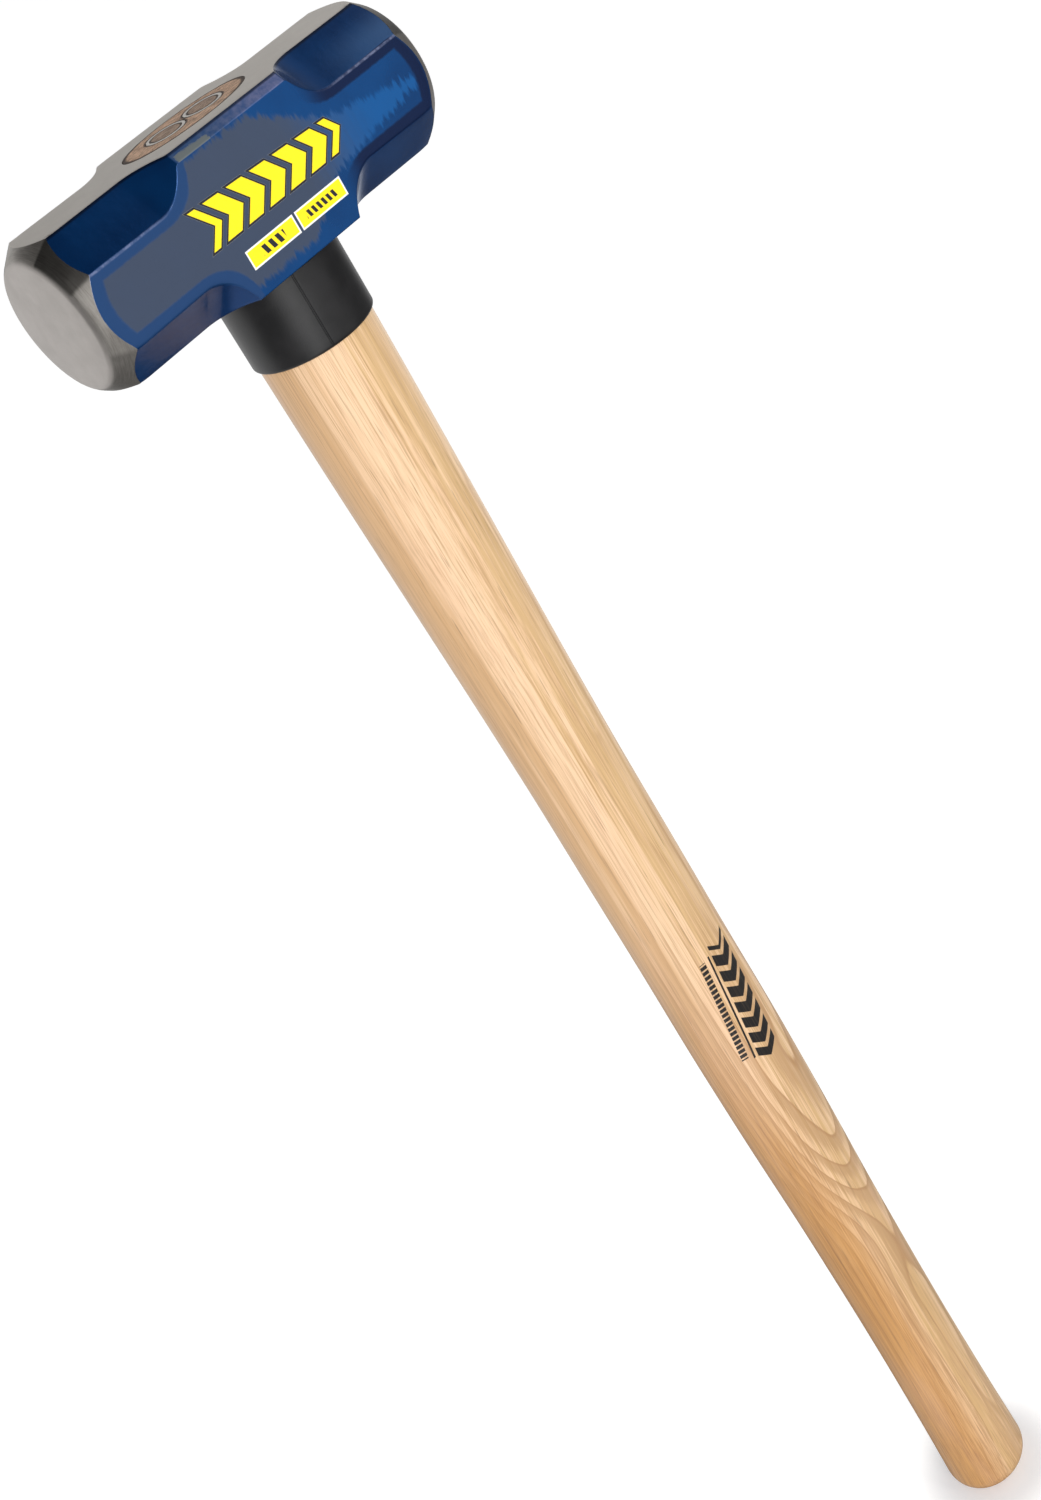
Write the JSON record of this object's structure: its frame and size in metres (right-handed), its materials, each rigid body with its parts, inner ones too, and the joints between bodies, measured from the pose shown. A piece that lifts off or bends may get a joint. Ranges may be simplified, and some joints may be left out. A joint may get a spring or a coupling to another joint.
{
  "type": "sledgehammer",
  "caption": "Double-faced sledgehammer: bevelled steel head with a blue painted body on a straight hickory handle, with a black overstrike collar under the head.",
  "frame": {"origin": "on the handle's axis where the lower hand grips it, 120 mm above the butt", "axes": "+Z along the handle towards the head, X along the head's striking axis, -Y out of the decorated cheek"},
  "size_m": [0.1564, 0.0526, 0.762],
  "materials": {
    "head_paint": "gloss blue enamel with bare ground steel on the top and on both striking ends",
    "hickory": "clear satin varnish",
    "collar_rubber": "satin black moulded rubber",
    "wedge_steel": "ground flush with the head's top"
  },
  "bodies": {
    "root": {"head": "head_paint", "handle": "hickory", "collar": "collar_rubber", "ring_wedge_left": "wedge_steel", "ring_wedge_right": "wedge_steel"}
  },
  "joints": []
}
